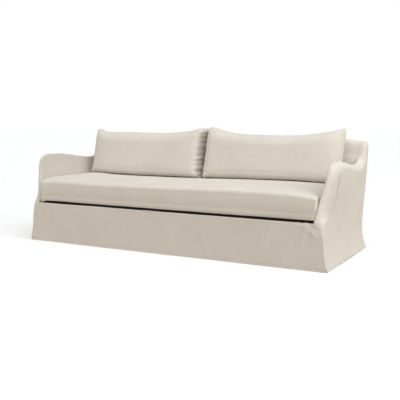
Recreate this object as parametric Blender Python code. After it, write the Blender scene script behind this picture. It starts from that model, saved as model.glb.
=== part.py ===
"""Fitted linen slipcover for a three-seat sofa, with its loose seat and back cushions.

The sofa itself is left out, so the cover is a hollow shell of sewn panels, open at the
bottom. Metres, +Z up, front towards -Y, origin on the floor under the middle of the cover.
Side panels are worked out for the right-hand end (+X) and turned over for the left.
"""
import math

import bmesh
import bpy
from mathutils import Vector

# Driving dimensions. Depths are measured back from the front panel until a point is placed.
DEPTH = 0.972
CLOTH = 0.0025
SEAM_GAP = 0.0006
SHELL_LIMIT = 1.3
RAIL_HEIGHT = 0.317
CREST_HEIGHT = 0.801
BACK_CROWN = 0.018
BACK_CROWN_POWER = 16
ARM_THICK = 0.063
BAND_CROWN = 0.006
CORNER_RADIUS = 0.030
REAR_TURN = 0.910
HEM_LIFT = 0.009
SLIT_HEIGHT = 0.060
SLIT_WIDTH = 0.013
SLIT_SIDE_SHARE = 0.4
SLIT_SIDE_REACH = 0.020
SLIT_FRONT_START = 1.150
SLIT_FRONT_REACH = 0.050
FRONT_COLUMNS = 22
BACK_COLUMNS = 12
BAND_ANGLES = (0.0, 32.0, 62.0, 90.0)
BAND_ROWS = len(BAND_ANGLES)
REST_GAP = 0.002
WELD = 0.00001

# Half width of the outside at each height, at the front and at the rear of the arm.
SIDE_FORM = (
    # height, front, rear
    (0.000, 1.230, 1.230),
    (0.060, 1.215, 1.214),
    (0.170, 1.202, 1.202),
    (0.320, 1.200, 1.211),
    (0.420, 1.214, 1.218),
    (0.480, 1.225, 1.222),
    (0.620, 1.248, 1.230),
    (0.720, 1.252, 1.232),
    (0.820, 1.253, 1.233),
)

# How far back the outside back panel lies at each height.
REAR_FORM = (
    # height, depth
    (0.000, 0.972),
    (0.080, 0.957),
    (0.200, 0.947),
    (0.470, 0.936),
    (0.800, 0.945),
)

# Outline of arm and wing from the side, with the points that its columns run down to.
ARM_OUTLINE = (
    # top depth, top height, hem depth, deck depth
    (0.0000, 0.317, 0.000, 0.000),
    (0.0080, 0.335, 0.010, 0.012),
    (0.0170, 0.361, 0.022, 0.022),
    (0.0270, 0.391, 0.036, 0.034),
    (0.0380, 0.424, 0.052, 0.050),
    (0.0500, 0.461, 0.069, 0.067),
    (0.0630, 0.504, 0.088, 0.086),
    (0.0790, 0.552, 0.109, 0.108),
    (0.0990, 0.604, 0.134, 0.133),
    (0.1240, 0.644, 0.162, 0.161),
    (0.1600, 0.668, 0.200, 0.196),
    (0.2100, 0.679, 0.254, 0.240),
    (0.3050, 0.681, 0.354, 0.312),
    (0.4350, 0.668, 0.514, 0.422),
    (0.5620, 0.648, 0.667, 0.532),
    (0.6900, 0.635, 0.815, 0.640),
    (0.7600, 0.638, 0.885, 0.695),
    (0.8050, 0.652, 0.893, 0.722),
    (0.8320, 0.676, 0.900, 0.740),
    (0.8480, 0.710, 0.906, 0.740),
    (0.8600, 0.753, 0.912, 0.740),
    (0.8740, 0.786, 0.920, 0.740),
    (0.8980, 0.801, 0.932, 0.740),
    (0.9250, 0.799, 0.953, 0.740),
    (0.9390, 0.789, 0.962, 0.740),
    (0.9445, 0.774, 0.972, 0.740),
)
# How far round the outside of the band its turn reaches, by the number of the column, and
# the share of the arm's thickness that the turn takes.
BAND_TURN = ((0, 0.0), (1, 0.024), (2, 0.058), (3, 0.075), (7, 0.075), (12, 0.045),
             (16, 0.045), (20, 0.026), (25, 0.026))
BAND_REACH = ((0, 0.72), (16, 0.72), (20, 0.45), (25, 0.45))
GUSSET_COLUMN = 16
BACK_COLUMN = 18

# Ledge and riser behind the front panel, then the flat of the deck.
DECK_PROFILE = (
    # depth, height
    (0.024, 0.317),
    (0.024, 0.337),
    (0.380, 0.337),
    (0.744, 0.337),
)

OUTSIDE_ROWS = (0.0, 0.09, 0.24, 0.42, 0.60, 0.80, 1.0)
INSIDE_ROWS = (0.0, 0.34, 0.68, 1.0)
BACK_ROWS = len(INSIDE_ROWS) - 1 + len(ARM_OUTLINE) - 1 - BACK_COLUMN

PANELS = (
    "front_panel", "deck", "inside_back", "outside_back",
    "inside_arm_left", "inside_arm_right", "outside_arm_left", "outside_arm_right",
    "arm_band_left", "arm_band_right", "back_side_left", "back_side_right",
)

# Soft folds of the front panel: ridges that fade away down the cloth.
FRONT_FOLDS = (
    # middle x, lean per metre down, half width, rise, highest point, lowest point
    (1.085, 0.35, 0.020, 0.0060, 0.317, 0.10),
    (1.140, 0.22, 0.018, 0.0050, 0.317, 0.14),
    (-1.120, -0.20, 0.024, 0.0040, 0.317, 0.12),
    (0.420, 0.00, 0.160, 0.0030, 0.280, 0.00),
    (-0.560, 0.00, 0.200, 0.0030, 0.280, 0.00),
)

SEAT = {
    "half_length": 1.135, "end_lean": 0.015, "front": 0.000, "rear": 0.735,
    "base": 0.339, "seam": 0.464, "crown": 0.040, "bulge": 0.005, "corner": 0.055,
    "end_rise": 0.012,
}
SEAT_CELLS = (22, 8)
SEAT_LEVELS = (0.4, -0.4, -1.0)
SEAT_END_CROWDING = 0.75
BACK_CUSHIONS = (
    # name, low x, high x, reach of the low side's turn and of the high side's,
    # how far forward the low side's seam lies, how far the foot's ends are pushed aside
    ("back_cushion_left", -1.122, -0.024, 0.21, 0.046, 0.000, -0.018, 0.014),
    ("back_cushion_right", 0.000, 1.100, 0.12, 0.26, 0.045, 0.012, 0.000),
)
CUSHION_TOPS = {
    # x, height
    "back_cushion_left": (
        (-1.122, 0.868), (-1.100, 0.879), (-1.061, 0.872), (-1.010, 0.856), (-0.900, 0.844),
        (-0.752, 0.837), (-0.430, 0.836), (-0.163, 0.860), (-0.080, 0.880), (-0.048, 0.885),
        (-0.024, 0.876),
    ),
    "back_cushion_right": (
        (0.000, 0.882), (0.020, 0.892), (0.050, 0.890), (0.085, 0.879), (0.153, 0.860),
        (0.326, 0.833), (0.543, 0.825), (0.735, 0.830), (0.889, 0.848), (1.024, 0.868),
        (1.070, 0.884), (1.088, 0.890), (1.100, 0.880),
    ),
}
CUSHION_FOOT_DEPTH = 0.668
CUSHION_FOOT_HEIGHT = 0.508
CUSHION_LEAN = 0.262
CUSHION_HALF_THICK = 0.096
CUSHION_SIDE_DRAW = 0.006
CUSHION_TOP_TURN = 0.105
CUSHION_FOOT_TURN = 0.070
CUSHION_EDGE_FILL = 0.88
CUSHION_CELLS = (22, 12)
CUSHION_EDGE_CROWDING = 0.62
CUSHION_FOOT_REACH = 24
CUSHION_FOOT_SHARE = 0.30

LINEN = (0.66, 0.59, 0.49, 1.0)
DECKING = (0.030, 0.028, 0.027, 1.0)
FINISHES = {"linen": (LINEN, 0.92), "decking": (DECKING, 0.95)}


def clear_scene():
    for item in list(bpy.data.objects):
        bpy.data.objects.remove(item, do_unlink=True)


def make_material(name, finish):
    color, roughness = FINISHES[finish]
    material = bpy.data.materials.new(name)
    material.use_nodes = True
    shader = material.node_tree.nodes["Principled BSDF"]
    shader.inputs["Base Color"].default_value = color
    shader.inputs["Roughness"].default_value = roughness
    shader.inputs["Metallic"].default_value = 0.0
    return material


def make_object(name, form, finish="linen"):
    """Turns a finished bmesh into one named object, its faces pointing out."""
    bmesh.ops.recalc_face_normals(form, faces=form.faces)
    if form.calc_volume(signed=True) < 0:
        bmesh.ops.reverse_faces(form, faces=form.faces)
    mesh = bpy.data.meshes.new(name)
    form.to_mesh(mesh)
    form.free()
    mesh.shade_smooth()
    mesh.set_sharp_from_angle(angle=math.radians(50))
    mesh.materials.append(make_material(name, finish))
    item = bpy.data.objects.new(name, mesh)
    bpy.context.scene.collection.objects.link(item)
    return item


def read_table(table, key, column):
    """Reads a table at a height between its rows, along a straight line."""
    for low, high in zip(table, table[1:]):
        if key <= high[0]:
            share = (key - low[0]) / (high[0] - low[0])
            return low[column] + (high[column] - low[column]) * max(0.0, share)
    return table[-1][column]


def rear_depth(height):
    return read_table(REAR_FORM, height, 1)


def outside_x(depth, height):
    """Half width of the outside, rounded off round the rear corner."""
    share = min(1.0, max(0.0, depth / DEPTH))
    front = read_table(SIDE_FORM, height, 1)
    rear = read_table(SIDE_FORM, height, 2)
    past = depth - (rear_depth(height) - CORNER_RADIUS)
    turned = min(CORNER_RADIUS, max(0.0, past))
    drawn_in = CORNER_RADIUS - math.sqrt(CORNER_RADIUS ** 2 - turned ** 2)
    return front + (rear - front) * share - drawn_in


def inside_x(depth, height):
    """Half width between the arms, on a line that doesn't round off at the rear."""
    share = min(1.0, max(0.0, depth / DEPTH))
    front = read_table(SIDE_FORM, height, 1)
    rear = read_table(SIDE_FORM, height, 2)
    return front + (rear - front) * share - ARM_THICK


def place(x, depth, height):
    return Vector((x, depth - DEPTH / 2, height))


def outline_normal(column):
    """Outward direction of the arm outline in the plane of depth and height."""
    before = ARM_OUTLINE[max(0, column - 1)]
    after = ARM_OUTLINE[min(len(ARM_OUTLINE) - 1, column + 1)]
    run, rise = after[0] - before[0], after[1] - before[1]
    length = math.hypot(run, rise)
    return -rise / length, run / length


def band_section(column):
    """Points across the arm band, from the seam on the outside to the inner seam."""
    depth, height = ARM_OUTLINE[column][:2]
    out_y, out_z = outline_normal(column)
    turn, reach = read_table(BAND_TURN, column, 1), read_table(BAND_REACH, column, 1)
    down_y, down_z = (0.0, 1.0) if depth > REAR_TURN else (out_y, out_z)
    outer = outside_x(depth - down_y * turn, height - down_z * turn)
    inner = inside_x(depth, height)
    middle = outer + (inner - outer) * reach
    points = []
    for angle in BAND_ANGLES:
        rise = (turn + BAND_CROWN) * math.sin(math.radians(angle)) - turn
        x = middle + (outer - middle) * math.cos(math.radians(angle))
        drop, lift = min(0.0, rise), max(0.0, rise)
        points.append(place(x, depth + down_y * drop + out_y * lift,
                            height + down_z * drop + out_z * lift))
    return points + [place(inner, depth, height)]


def hem_height(depth):
    share = min(1.0, max(0.0, depth / DEPTH))
    return HEM_LIFT * math.sin(math.pi * share) ** 2


def outside_point(column, row):
    """Point on the outside of arm or wing, from the hem up to the band's outer seam."""
    top = band_section(column)[0]
    if row == len(OUTSIDE_ROWS) - 1:
        return top
    foot_depth = ARM_OUTLINE[column][2]
    foot_height = hem_height(foot_depth)
    height = foot_height + (top.z - foot_height) * OUTSIDE_ROWS[row]
    depth = foot_depth + (top.y + DEPTH / 2 - foot_depth) * OUTSIDE_ROWS[row]
    if ARM_OUTLINE[column][0] > REAR_TURN:
        depth = rear_depth(height) - (ARM_OUTLINE[-1][0] - ARM_OUTLINE[column][0])
    return place(outside_x(depth, height), depth, height)


def inside_point(column, row):
    """Point on the inside of arm or wing, from the deck up to the band's inner seam."""
    top = band_section(column)[-1]
    if row == len(INSIDE_ROWS) - 1:
        return top
    foot_depth = ARM_OUTLINE[column][3]
    height = RAIL_HEIGHT + (top.z - RAIL_HEIGHT) * INSIDE_ROWS[row]
    depth = foot_depth + (top.y + DEPTH / 2 - foot_depth) * INSIDE_ROWS[row]
    return place(inside_x(depth, height), depth, height)


def turn_over(point):
    return Vector((-point.x, point.y, point.z))


def inside_back_point(column, row):
    """Point on the inside back: up from the deck, over the top, to the rear seam."""
    rows = len(INSIDE_ROWS)
    if row < rows:
        edge = inside_point(BACK_COLUMN, row)
    else:
        edge = band_section(BACK_COLUMN + row - rows + 1)[-1]
    point = turn_over(edge).lerp(edge, column / BACK_COLUMNS)
    across = 2 * column / BACK_COLUMNS - 1
    rise = (point.z - RAIL_HEIGHT) / (CREST_HEIGHT - RAIL_HEIGHT)
    point.z += BACK_CROWN * (1 - across ** BACK_CROWN_POWER) * rise ** 4
    return point


def outside_back_point(column, row):
    """Point on the outside back: its top row follows both bands and the inside back."""
    rear = band_section(len(ARM_OUTLINE) - 1)
    last_row = BACK_ROWS
    middle = [inside_back_point(index, last_row) for index in range(1, BACK_COLUMNS)]
    line = [turn_over(point) for point in rear] + middle + list(reversed(rear))
    if row == len(OUTSIDE_ROWS) - 1:
        return line[column]
    edge = outside_point(len(ARM_OUTLINE) - 1, row)
    return Vector((edge.x * line[column].x / line[-1].x, edge.y, edge.z))


def front_fold(x, height):
    """How far the front panel stands forward in its soft folds."""
    forward = 0.0
    for middle, lean, half_width, rise, highest, lowest in FRONT_FOLDS:
        along = (highest - height) / (highest - lowest)
        if 0.0 <= along <= 1.0:
            away = (x - middle + lean * (highest - height)) / half_width
            forward += rise * math.exp(-away * away) * math.sin(math.pi * (0.35 + 0.65 * along))
    return forward


def front_point(column, row):
    """Point on the front panel; its top row follows both bands and the deck."""
    band = band_section(0)
    deck = [turn_over(band[-1]).lerp(band[-1], index / FRONT_COLUMNS)
            for index in range(1, FRONT_COLUMNS)]
    line = [turn_over(point) for point in band] + deck + list(reversed(band))
    height = RAIL_HEIGHT * OUTSIDE_ROWS[row]
    edge = outside_point(0, row)
    x = edge.x * line[column].x / line[-1].x
    at_end = column in (0, len(line) - 1)
    forward = 0.0 if at_end else front_fold(x, height)
    return place(x, -forward, height)


def deck_point(column, row):
    """Point on the deck: a ledge and a riser behind the front panel, then the flat deck."""
    if row == 0:
        return front_point(column + len(band_section(0)) - 1, len(OUTSIDE_ROWS) - 1)
    depth, height = DECK_PROFILE[row - 1]
    half_width = inside_x(depth, height) - SEAM_GAP
    return place(half_width * (2 * column / FRONT_COLUMNS - 1), depth, height)


def add_patch(form, columns, rows, point_at, panel, flip=False):
    """Adds a grid of faces whose corners point_at gives, marked with its panel's number."""
    layer = form.faces.layers.int["panel"]
    grid = bmesh.ops.create_grid(form, x_segments=columns, y_segments=rows, size=0.5)
    corners = grid["verts"]
    for vert in corners:
        column = round((vert.co.x + 0.5) * columns)
        row = round((vert.co.y + 0.5) * rows)
        point = point_at(column, row)
        vert.co = turn_over(point) if flip else point
    for face in {face for vert in corners for face in vert.link_faces}:
        face[layer] = panel


def cover_form():
    """The whole cover as one thin surface, its faces numbered by panel."""
    form = bmesh.new()
    form.faces.layers.int.new("panel")
    outer_rows, inner_rows = len(OUTSIDE_ROWS) - 1, len(INSIDE_ROWS) - 1
    stations = len(ARM_OUTLINE) - 1
    rear_columns = stations - GUSSET_COLUMN
    for flip, side in ((False, "right"), (True, "left")):
        add_patch(form, GUSSET_COLUMN, outer_rows, outside_point,
                  PANELS.index("outside_arm_" + side), flip)
        add_patch(form, rear_columns, outer_rows,
                  lambda column, row: outside_point(column + GUSSET_COLUMN, row),
                  PANELS.index("back_side_" + side), flip)
        add_patch(form, stations, BAND_ROWS, lambda column, row: band_section(column)[row],
                  PANELS.index("arm_band_" + side), flip)
        add_patch(form, BACK_COLUMN, inner_rows, inside_point,
                  PANELS.index("inside_arm_" + side), flip)
    add_patch(form, BACK_COLUMNS, BACK_ROWS, inside_back_point, PANELS.index("inside_back"))
    add_patch(form, BACK_COLUMNS + 2 * BAND_ROWS, outer_rows, outside_back_point,
              PANELS.index("outside_back"))
    add_patch(form, FRONT_COLUMNS + 2 * BAND_ROWS, outer_rows, front_point,
              PANELS.index("front_panel"))
    add_patch(form, FRONT_COLUMNS, len(DECK_PROFILE), deck_point, PANELS.index("deck"))
    bmesh.ops.remove_doubles(form, verts=form.verts, dist=WELD)
    bmesh.ops.recalc_face_normals(form, faces=form.faces)
    rear = max(form.faces, key=lambda face: face.calc_center_median().y)
    if rear.normal.y < 0:
        bmesh.ops.reverse_faces(form, faces=form.faces)
    form.normal_update()
    return form


def seam_offset(vert):
    """Moves an edge point in along its cloth, by half of the gap that a seam keeps."""
    sides = []
    for edge in vert.link_edges:
        if len(edge.link_faces) == 1:
            face = edge.link_faces[0]
            along = edge.verts[1].co - edge.verts[0].co
            inward = face.normal.cross(along).normalized()
            if inward.dot(face.calc_center_median() - edge.verts[0].co) < 0:
                inward.negate()
            sides.append(inward)
    if len(sides) != 2:
        return Vector((0, 0, 0))
    return (sides[0] + sides[1]) * (SEAM_GAP / 2) / max(0.3, 1 + sides[0].dot(sides[1]))


def slit_offset(co, side_panel):
    """Opens the front corner below the last stitch, where the two hems part."""
    from_front = co.y + DEPTH / 2
    share = max(0.0, 1 - co.z / SLIT_HEIGHT)
    if side_panel:
        near = max(0.0, 1 - from_front / SLIT_SIDE_REACH)
        return Vector((0, SLIT_WIDTH * SLIT_SIDE_SHARE * share * near, 0))
    near = min(1.0, max(0.0, (abs(co.x) - SLIT_FRONT_START) / SLIT_FRONT_REACH))
    return Vector((-math.copysign(SLIT_WIDTH * share * near, co.x), 0, 0))


def split_face(face, start):
    """Cuts a four-sided face in two, from one of its corners to the opposite one."""
    beside = {vert for edge in start.link_edges if edge in face.edges for vert in edge.verts}
    opposite = next(vert for vert in face.verts if vert not in beside)
    bmesh.utils.face_split(face, start, opposite)


def cut_order(vert):
    """Ranks corners low and forward first, alike on both sides of a seam."""
    return vert.co.y + 0.4 * vert.co.z + 0.1 * abs(vert.co.x)


def split_edges_alike(form, lining):
    """Cuts the narrow faces round a panel's edge the same way as its neighbour's."""
    for face in list(form.faces):
        outer = [vert for vert in face.verts if vert not in lining]
        if len(face.verts) == 4 and len(outer) == 2:
            split_face(face, min(outer, key=cut_order))


def make_panel(cover, name):
    """Cuts one panel from the cover's surface and gives it the thickness of cloth."""
    form = cover.copy()
    panel_layer = form.faces.layers.int["panel"]
    inward = form.verts.layers.float_vector["inward"]
    others = [face for face in form.faces if face[panel_layer] != PANELS.index(name)]
    bmesh.ops.delete(form, geom=others, context="FACES")
    form.normal_update()
    offsets = {vert: seam_offset(vert) for vert in form.verts if vert.is_boundary}
    for vert, offset in offsets.items():
        vert.co += offset
    if name == "front_panel" or name.startswith("outside_arm"):
        for vert in form.verts:
            vert.co += slit_offset(vert.co, name != "front_panel")
    extruded = bmesh.ops.extrude_face_region(form, geom=list(form.faces), use_keep_orig=True)
    lining = {item for item in extruded["geom"] if isinstance(item, bmesh.types.BMVert)}
    for vert in lining:
        vert.co += Vector(vert[inward])
    split_edges_alike(form, lining)
    return make_object(name, form, "decking" if name == "deck" else "linen")


def make_cover():
    cover = cover_form()
    inward = cover.verts.layers.float_vector.new("inward")
    for vert in cover.verts:
        vert[inward] = -vert.normal * CLOTH * min(SHELL_LIMIT, vert.calc_shell_factor())
    for name in PANELS:
        make_panel(cover, name)
    cover.free()


def seat_top(x, depth):
    """Height of the seat cushion's crowned top."""
    across = min(1.0, abs(x) / SEAT["half_length"])
    middle = (SEAT["front"] + SEAT["rear"]) / 2
    along = min(1.0, abs(depth - middle) / (SEAT["rear"] - middle))
    crown = math.sqrt((1 - across ** 6) * (1 - along ** 4))
    return SEAT["seam"] + SEAT["end_rise"] * across ** 3 + SEAT["crown"] * crown


def seat_point(a, b, level):
    """Point on the seat cushion; a, b and level run from -1 to 1 along x, y and z."""
    half_length = SEAT["half_length"] + SEAT["end_lean"] * level
    half_depth = (SEAT["rear"] - SEAT["front"]) / 2
    x, y = a * half_length, b * half_depth
    past_x = max(0.0, abs(x) - half_length + SEAT["corner"])
    past_y = max(0.0, abs(y) - half_depth + SEAT["corner"])
    if past_x > 0 and past_y > 0:
        shrink = 1 - max(past_x, past_y) / math.hypot(past_x, past_y)
        x -= math.copysign(past_x * shrink, x)
        y -= math.copysign(past_y * shrink, y)
    swell = SEAT["bulge"] * (1 - level * level)
    x += swell * a ** 3
    y += swell * b ** 3
    depth = y + (SEAT["front"] + SEAT["rear"]) / 2
    across = min(1.0, abs(x) / half_length)
    seam = SEAT["seam"] + SEAT["end_rise"] * across ** 3
    height = SEAT["base"] + (seam - SEAT["base"]) * (level + 1) / 2
    if level == 1 and max(abs(a), abs(b)) < 1:
        height = seat_top(x, depth)
    return place(x, depth, height)


def make_seat_cushion():
    """A crowned top, straight boxed sides and a flat bottom, as one filled solid."""
    form = bmesh.new()
    columns, rows = SEAT_CELLS
    bmesh.ops.create_grid(form, x_segments=columns, y_segments=rows, size=1.0)
    for vert in form.verts:
        vert.co.x = math.copysign(abs(vert.co.x) ** SEAT_END_CROWDING, vert.co.x)
        vert.co.z = 1.0
    layer = list(form.faces)
    for level in SEAT_LEVELS:
        lower = bmesh.ops.extrude_face_region(form, geom=layer, use_keep_orig=True)
        if level < SEAT_LEVELS[0]:
            bmesh.ops.delete(form, geom=layer, context="FACES_ONLY")
        layer = [item for item in lower["geom"] if isinstance(item, bmesh.types.BMFace)]
        for vert in {vert for face in layer for vert in face.verts}:
            vert.co.z = level
    for vert in form.verts:
        vert.co = seat_point(vert.co.x, vert.co.y, vert.co.z)
    return make_object("seat_cushion", form)


def round_turn(away, reach):
    """Rises round a quarter circle, from 0 at the edge to 1."""
    share = 1 - min(1.0, max(0.0, away / reach))
    return math.sqrt(1 - share * share)


def pillow_point(a, b, face, top_line, low_x, high_x, low_turn, high_turn, low_forward,
                 low_foot, high_foot):
    """Point on a back cushion; face is 1 for its front and -1 for its rear."""
    half = (high_x - low_x) / 2
    x = (low_x + high_x) / 2 + a * (half - CUSHION_SIDE_DRAW * (1 - b * b))
    foot = seat_top(x, CUSHION_FOOT_DEPTH) + 2 * REST_GAP
    top = read_table(top_line, x, 1)
    height = foot + (top - foot) * (b + 1) / 2
    depth = CUSHION_FOOT_DEPTH + CUSHION_LEAN * (height - CUSHION_FOOT_HEIGHT)
    side = round_turn(half * (1 - abs(a)), high_turn if a > 0 else low_turn)
    end_turn = CUSHION_TOP_TURN if b > 0 else CUSHION_FOOT_TURN
    end = round_turn((top - foot) / 2 * (1 - abs(b)), end_turn)
    middle = (1 - a ** 4) * (1 - b ** 4)
    crown = CUSHION_EDGE_FILL + (1 - CUSHION_EDGE_FILL) * middle
    lift = face * CUSHION_HALF_THICK * side * end * crown
    if a < 0:
        lift += low_forward * (1 - side)
    near_foot = min(1.0, max(0.0, (-b - 1 + CUSHION_FOOT_SHARE) / CUSHION_FOOT_SHARE))
    x += (high_foot if a > 0 else low_foot) * abs(a) ** CUSHION_FOOT_REACH * near_foot
    depth -= lift
    height = max(height + lift * CUSHION_LEAN * (b + 1) / 2, seat_top(x, depth) + 2 * REST_GAP)
    return place(x, depth, height)


def make_back_cushion(name, *shape):
    """Front and rear faces that turn over to a shared seam, with drawn-in sides."""
    form = bmesh.new()
    columns, rows = CUSHION_CELLS
    for face in (1, -1):
        grid = bmesh.ops.create_grid(form, x_segments=columns, y_segments=rows, size=1.0)
        for vert in grid["verts"]:
            spread = [math.copysign(abs(side) ** CUSHION_EDGE_CROWDING, side)
                      for side in vert.co[:2]]
            vert.co = pillow_point(*spread, face, CUSHION_TOPS[name], *shape)
    bmesh.ops.remove_doubles(form, verts=form.verts, dist=WELD)
    for tip in [vert for vert in form.verts if len(vert.link_faces) == 2]:
        for face in list(tip.link_faces):
            split_face(face, tip)
    return make_object(name, form)


clear_scene()
make_cover()
make_seat_cushion()
for cushion in BACK_CUSHIONS:
    make_back_cushion(*cushion)
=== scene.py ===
# Linen slipcover for a three-seat sofa, with its seat cushion and two back cushions.
# Metres, +Z up, front towards -Y. Depths are measured back from the front panel.
import math

import bmesh
import bpy
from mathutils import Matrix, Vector, kdtree, noise


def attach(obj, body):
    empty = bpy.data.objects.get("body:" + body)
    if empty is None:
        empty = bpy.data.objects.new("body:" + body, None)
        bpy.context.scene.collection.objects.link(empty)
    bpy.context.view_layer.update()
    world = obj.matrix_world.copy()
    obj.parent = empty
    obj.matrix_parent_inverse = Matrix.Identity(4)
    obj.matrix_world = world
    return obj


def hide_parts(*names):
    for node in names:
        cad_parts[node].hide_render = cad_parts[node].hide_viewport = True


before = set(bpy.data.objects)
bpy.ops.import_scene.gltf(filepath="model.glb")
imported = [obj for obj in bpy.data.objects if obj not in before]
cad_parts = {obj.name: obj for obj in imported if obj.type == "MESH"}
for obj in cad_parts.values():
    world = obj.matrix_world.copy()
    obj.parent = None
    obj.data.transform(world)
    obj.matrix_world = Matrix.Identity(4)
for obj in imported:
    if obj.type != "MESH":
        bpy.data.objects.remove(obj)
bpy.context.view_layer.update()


# curves that both the panels and the cushions use

def curveThrough(rows, column):  # a smooth curve through the rows that never runs past them
    keys = [row[0] for row in rows]
    values = [row[column] for row in rows]
    gaps = [high - low for low, high in zip(keys, keys[1:])]
    rises = [(high - low) / gap for low, high, gap in zip(values, values[1:], gaps)]
    slopes = [rises[0]]
    for index in range(1, len(rises)):
        before, after = rises[index - 1], rises[index]
        if before * after <= 0:
            slopes.append(0.0)
            continue
        near = 2 * gaps[index] + gaps[index - 1]
        far = gaps[index] + 2 * gaps[index - 1]
        slopes.append((near + far) / (near / before + far / after))
    slopes.append(rises[-1])

    def read(key):
        if key <= keys[0]:
            return values[0]
        if key >= keys[-1]:
            return values[-1]
        index = next(place for place, high in enumerate(keys[1:]) if key <= high)
        gap = gaps[index]
        share = (key - keys[index]) / gap
        square, cube = share * share, share ** 3
        return (
            values[index] * (2 * cube - 3 * square + 1)
            + slopes[index] * gap * (cube - 2 * square + share)
            + values[index + 1] * (3 * square - 2 * cube)
            + slopes[index + 1] * gap * (cube - square)
        )

    return read


def mix(low, high, share):
    return low + (high - low) * share


def clamp(value, low=0.0, high=1.0):
    return max(low, min(high, value))


def ease(value):  # 0 to 1, soft at both ends
    value = clamp(value)
    return value * value * (3 - 2 * value)


def gradedSteps(length, step, edges=(0.0, 0.003, 0.008)):  # 0 to 1, closer at both ends
    near = [edge / length for edge in edges]
    count = max(1, round((length - 2 * edges[-1]) / step))
    middle = [mix(near[-1], 1 - near[-1], index / count) for index in range(1, count)]
    return near + middle + [1 - edge for edge in reversed(near)]


# the cover's cut: tables in metres

cover = {
    "depth": 0.972,
    "cloth": 0.0025,
    "seamGap": 0.0004,
    "shellLimit": 1.3,
    "rail": 0.308,  # height of the front panel
    "crest": 0.801,
    "backCrown": 0.018,
    "crownPower": 16,
    "armThick": 0.063,
    "cornerRadius": 0.030,
    "hemLift": 0.009,
    "slitHeight": 0.060,
    "slitWidth": 0.013,
    "step": 0.0095,  # spacing of the mesh over the cloth
    "weld": 0.00001,
    "faintSeam": 0.0020,  # how much weaker a faint seam is, as a distance
}

# the cloth's slow swells, as rise and as swells per metre, and the hem's own swing
waves = {
    "rise": 0.0018, "spacing": 2.6,
    "fineShare": 0.45, "fineSpacing": 7.5,
    "hemRise": 0.0036, "hemSpacing": 3.6, "hemReach": 0.30,
}

# a sewn seam: how far it draws in, and the lip that stands up beside it
seam = {"draw": 0.0018, "drawReach": 0.0035, "lip": 0.0009, "lipAway": 0.0085, "lipReach": 0.0055}
farFromSeam = 0.05
farFromHem = 0.08

band = {
    "frontTurn": 0.100,  # how far round the outer turn reaches: arm front, arm top and wing
    "topTurn": 0.045,
    "wingTurn": 0.026,
    "reach": 0.80,  # share of the arm's thickness that the outer turn takes
    "wingReach": 0.45,
    "crown": 0.004,
    "shoulder": 0.72,  # share of the steps that go round the outer turn
    "roundness": 2.0,
    "rows": 18,
}

# half width of the outside at each height: at the front and at the rear of the arm
sideRows = (
    (0.000, 1.230, 1.230),
    (0.060, 1.215, 1.214),
    (0.170, 1.202, 1.202),
    (0.320, 1.200, 1.211),
    (0.420, 1.214, 1.218),
    (0.480, 1.225, 1.222),
    (0.620, 1.248, 1.230),
    (0.720, 1.252, 1.232),
    (0.820, 1.253, 1.233),
)

# how far back the outside back lies at each height
rearRows = (
    (0.000, 0.972),
    (0.080, 0.957),
    (0.200, 0.947),
    (0.470, 0.936),
    (0.800, 0.945),
)

# arm and wing from the side: top depth, top height, hem depth, deck depth
outlineRows = (
    (0.0000, 0.308, 0.000, 0.000),
    (0.0080, 0.335, 0.010, 0.012),
    (0.0170, 0.361, 0.022, 0.022),
    (0.0270, 0.391, 0.036, 0.034),
    (0.0380, 0.424, 0.052, 0.050),
    (0.0500, 0.461, 0.069, 0.067),
    (0.0630, 0.504, 0.088, 0.086),
    (0.0790, 0.552, 0.109, 0.108),
    (0.0940, 0.604, 0.130, 0.130),
    (0.1120, 0.643, 0.154, 0.154),
    (0.1440, 0.668, 0.188, 0.186),
    (0.1960, 0.679, 0.244, 0.234),
    (0.3050, 0.678, 0.354, 0.312),
    (0.4350, 0.665, 0.514, 0.422),
    (0.5620, 0.647, 0.667, 0.532),
    (0.6900, 0.635, 0.815, 0.640),
    (0.7600, 0.638, 0.885, 0.695),
    (0.8050, 0.652, 0.893, 0.722),
    (0.8320, 0.676, 0.900, 0.740),
    (0.8480, 0.710, 0.906, 0.740),
    (0.8600, 0.753, 0.912, 0.740),
    (0.8740, 0.786, 0.920, 0.740),
    (0.8980, 0.801, 0.932, 0.740),
    (0.9250, 0.799, 0.953, 0.740),
    (0.9390, 0.789, 0.962, 0.740),
    (0.9445, 0.774, 0.972, 0.740),
)
gussetStation = 16
backStation = 18
rearStation = 22  # past here the columns follow the outside back
lastStation = len(outlineRows) - 1

deckRows = ((0.024, 0.308), (0.024, 0.337), (0.060, 0.337), (0.200, 0.337),
            (0.400, 0.337), (0.600, 0.337), (0.744, 0.337))  # depth, height

sideFront = curveThrough(sideRows, 1)
sideRear = curveThrough(sideRows, 2)
rearDepth = curveThrough(rearRows, 1)
numberedRows = [(index, *row) for index, row in enumerate(outlineRows)]
topDepth = curveThrough(numberedRows, 1)
topHeight = curveThrough(numberedRows, 2)
hemDepth = curveThrough(numberedRows, 3)
deckDepth = curveThrough(numberedRows, 4)


def stationList():  # where the columns of the arms stand, closer beside the seams
    stations = []
    for index in range(lastStation):
        here, ahead = outlineRows[index], outlineRows[index + 1]
        length = max(math.hypot(ahead[0] - here[0], ahead[1] - here[1]), ahead[2] - here[2])
        count = max(1, round(length / cover["step"]))
        stations += [index + part / count for part in range(count)]
    stations += [gussetStation - 0.05, gussetStation + 0.07]
    stations += [lastStation - gap for gap in (0.45, 0.25, 0.12, 0.05, 0.0)]
    return sorted(set(stations))


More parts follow.
